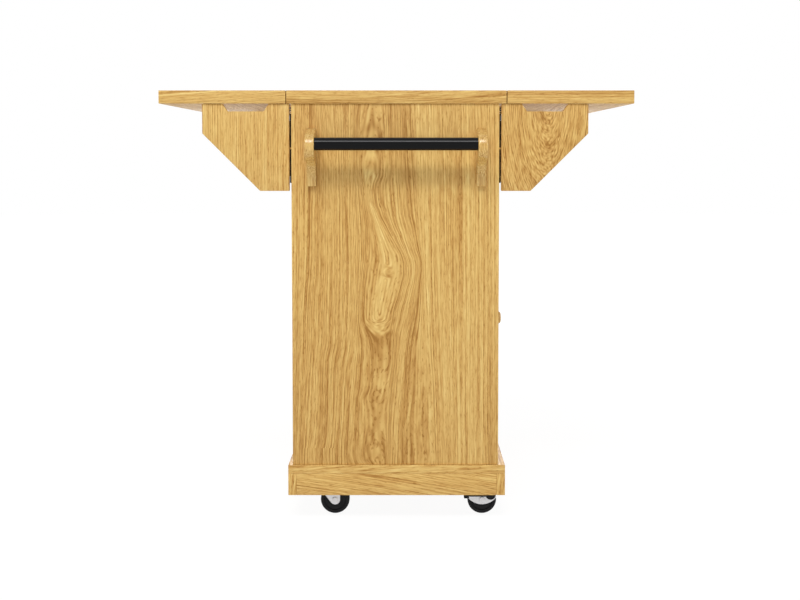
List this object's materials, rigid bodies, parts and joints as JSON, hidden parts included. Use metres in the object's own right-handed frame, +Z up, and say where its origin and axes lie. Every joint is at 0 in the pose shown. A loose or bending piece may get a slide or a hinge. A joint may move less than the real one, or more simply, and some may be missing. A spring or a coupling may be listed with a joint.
{
  "type": "drop leaf kitchen island",
  "caption": "Oak kitchen island on swivel casters with two drop leaves on fold-out brackets, two doors and a towel rail.",
  "frame": {"origin": "middle of the whole object on the floor, with the leaves raised", "axes": "+X across the island towards the doors, +Y along the island away from the towel rail, +Z up"},
  "size_m": [1.012, 0.976, 0.928],
  "materials": {
    "oak_top": "satin lacquered oak veneer, grain along the island",
    "oak_panel": "satin lacquered oak veneer, upright grain",
    "oak_plinth": "satin lacquered oak veneer, grain along each board",
    "oak_small": "satin lacquered oak, small boards and turned knobs",
    "black_bar": "semi-gloss black powder coat",
    "black_hinge": "black powder coat",
    "bright_steel": "plain steel",
    "zinc_plate": "zinc-plated pressed steel",
    "wheel_black": "black moulded nylon",
    "pedal_black": "black moulded nylon",
    "catch_plastic": "off-white moulded plastic"
  },
  "bodies": {
    "cabinet": {"worktop": "oak_top", "end_panel_near": "oak_panel", "end_panel_far": "oak_panel", "back_panel": "oak_panel", "front_apron": "oak_panel", "top_cleats": "oak_small", "shelf": "oak_small", "shelf_pins": "bright_steel", "base_board": "oak_plinth", "plinth_front": "oak_plinth", "plinth_back": "oak_plinth", "plinth_end_near": "oak_plinth", "plinth_end_far": "oak_plinth", "plinth_corner_blocks": "oak_small", "towel_arm_left": "oak_small", "towel_arm_right": "oak_small", "towel_bar": "black_bar", "door_catches": "catch_plastic", "bracket_hinge_fixed_leaves": "black_hinge", "door_hinge_fixed_leaves": "black_hinge", "leaf_hinge_fixed_leaves": "black_hinge", "hinge_pins": "bright_steel", "caster_plates": "zinc_plate", "caster_screws": "zinc_plate"},
    "front_leaf": {"leaf_front": "oak_top", "leaf_hinge_leaves_front": "black_hinge"},
    "back_leaf": {"leaf_back": "oak_top", "leaf_hinge_leaves_back": "black_hinge"},
    "front_near_bracket": {"bracket_front_near": "oak_small", "bracket_hinge_leaves_front_near": "black_hinge"},
    "front_far_bracket": {"bracket_front_far": "oak_small", "bracket_hinge_leaves_front_far": "black_hinge"},
    "back_near_bracket": {"bracket_back_near": "oak_small", "bracket_hinge_leaves_back_near": "black_hinge"},
    "back_far_bracket": {"bracket_back_far": "oak_small", "bracket_hinge_leaves_back_far": "black_hinge"},
    "near_door": {"door_near": "oak_panel", "door_hinge_leaves_near": "black_hinge", "knob_near": "oak_small", "door_strike_near": "bright_steel"},
    "far_door": {"door_far": "oak_panel", "door_hinge_leaves_far": "black_hinge", "knob_far": "oak_small", "door_strike_far": "bright_steel"},
    "front_near_caster": {"caster_fork_front_near": "zinc_plate", "caster_bolts_front_near": "zinc_plate"},
    "front_near_wheel": {"caster_wheel_front_near": "wheel_black"},
    "front_far_caster": {"caster_fork_front_far": "zinc_plate", "caster_bolts_front_far": "zinc_plate"},
    "front_far_wheel": {"caster_wheel_front_far": "wheel_black"},
    "back_near_caster": {"caster_fork_back_near": "zinc_plate", "caster_bolts_back_near": "zinc_plate"},
    "back_near_wheel": {"caster_wheel_back_near": "wheel_black"},
    "back_far_caster": {"caster_fork_back_far": "zinc_plate", "caster_bolts_back_far": "zinc_plate"},
    "back_far_wheel": {"caster_wheel_back_far": "wheel_black"},
    "near_brake": {"brake_pedal_near": "pedal_black"},
    "far_brake": {"brake_pedal_far": "pedal_black"}
  },
  "joints": [
    {"name": "front_leaf_lift", "type": "hinge", "parent": "cabinet", "child": "front_leaf", "pos_m": [0.23525, 0.038, 0.8965], "axis": [0, -1, 0], "range_deg": [0, 2.4]},
    {"name": "back_leaf_lift", "type": "hinge", "parent": "cabinet", "child": "back_leaf", "pos_m": [-0.23525, 0.038, 0.8965], "axis": [0, 1, 0], "range_deg": [0, 2.4]},
    {"name": "front_near_bracket_fold", "type": "hinge", "parent": "cabinet", "child": "front_near_bracket", "pos_m": [0.2216, -0.3939, 0.8065], "axis": [0, 0, 1], "range_deg": [0, 90]},
    {"name": "front_far_bracket_fold", "type": "hinge", "parent": "cabinet", "child": "front_far_bracket", "pos_m": [0.2216, 0.4699, 0.8065], "axis": [0, 0, -1], "range_deg": [0, 90]},
    {"name": "back_near_bracket_fold", "type": "hinge", "parent": "cabinet", "child": "back_near_bracket", "pos_m": [-0.2266, -0.3939, 0.8065], "axis": [0, 0, -1], "range_deg": [0, 90]},
    {"name": "back_far_bracket_fold", "type": "hinge", "parent": "cabinet", "child": "back_far_bracket", "pos_m": [-0.2266, 0.4699, 0.8065], "axis": [0, 0, 1], "range_deg": [0, 90]},
    {"name": "near_door_swing", "type": "hinge", "parent": "cabinet", "child": "near_door", "pos_m": [0.2175, -0.388, 0.3755], "axis": [0, 0, -1], "range_deg": [0, 95]},
    {"name": "far_door_swing", "type": "hinge", "parent": "cabinet", "child": "far_door", "pos_m": [0.2175, 0.464, 0.3755], "axis": [0, 0, 1], "range_deg": [0, 95]},
    {"name": "front_near_caster_swivel", "type": "hinge", "parent": "cabinet", "child": "front_near_caster", "pos_m": [0.162, -0.346, 0.075], "axis": [0, 0, 1], "continuous": true},
    {"name": "front_near_wheel_roll", "type": "hinge", "parent": "front_near_caster", "child": "front_near_wheel", "pos_m": [0.1877, -0.346, 0.03175], "axis": [0, 1, 0], "continuous": true},
    {"name": "front_far_caster_swivel", "type": "hinge", "parent": "cabinet", "child": "front_far_caster", "pos_m": [0.162, 0.422, 0.075], "axis": [0, 0, 1], "continuous": true},
    {"name": "front_far_wheel_roll", "type": "hinge", "parent": "front_far_caster", "child": "front_far_wheel", "pos_m": [0.1877, 0.422, 0.03175], "axis": [0, 1, 0], "continuous": true},
    {"name": "back_near_caster_swivel", "type": "hinge", "parent": "cabinet", "child": "back_near_caster", "pos_m": [-0.162, -0.346, 0.075], "axis": [0, 0, 1], "continuous": true},
    {"name": "back_near_wheel_roll", "type": "hinge", "parent": "back_near_caster", "child": "back_near_wheel", "pos_m": [-0.1363, -0.346, 0.03175], "axis": [0, 1, 0], "continuous": true},
    {"name": "back_far_caster_swivel", "type": "hinge", "parent": "cabinet", "child": "back_far_caster", "pos_m": [-0.162, 0.422, 0.075], "axis": [0, 0, 1], "continuous": true},
    {"name": "back_far_wheel_roll", "type": "hinge", "parent": "back_far_caster", "child": "back_far_wheel", "pos_m": [-0.1363, 0.422, 0.03175], "axis": [0, 1, 0], "continuous": true},
    {"name": "near_brake_press", "type": "hinge", "parent": "front_near_caster", "child": "near_brake", "pos_m": [0.164, -0.346, 0.06], "axis": [0, 1, 0], "range_deg": [0, 9]},
    {"name": "far_brake_press", "type": "hinge", "parent": "front_far_caster", "child": "far_brake", "pos_m": [0.164, 0.422, 0.06], "axis": [0, 1, 0], "range_deg": [0, 9]}
  ]
}
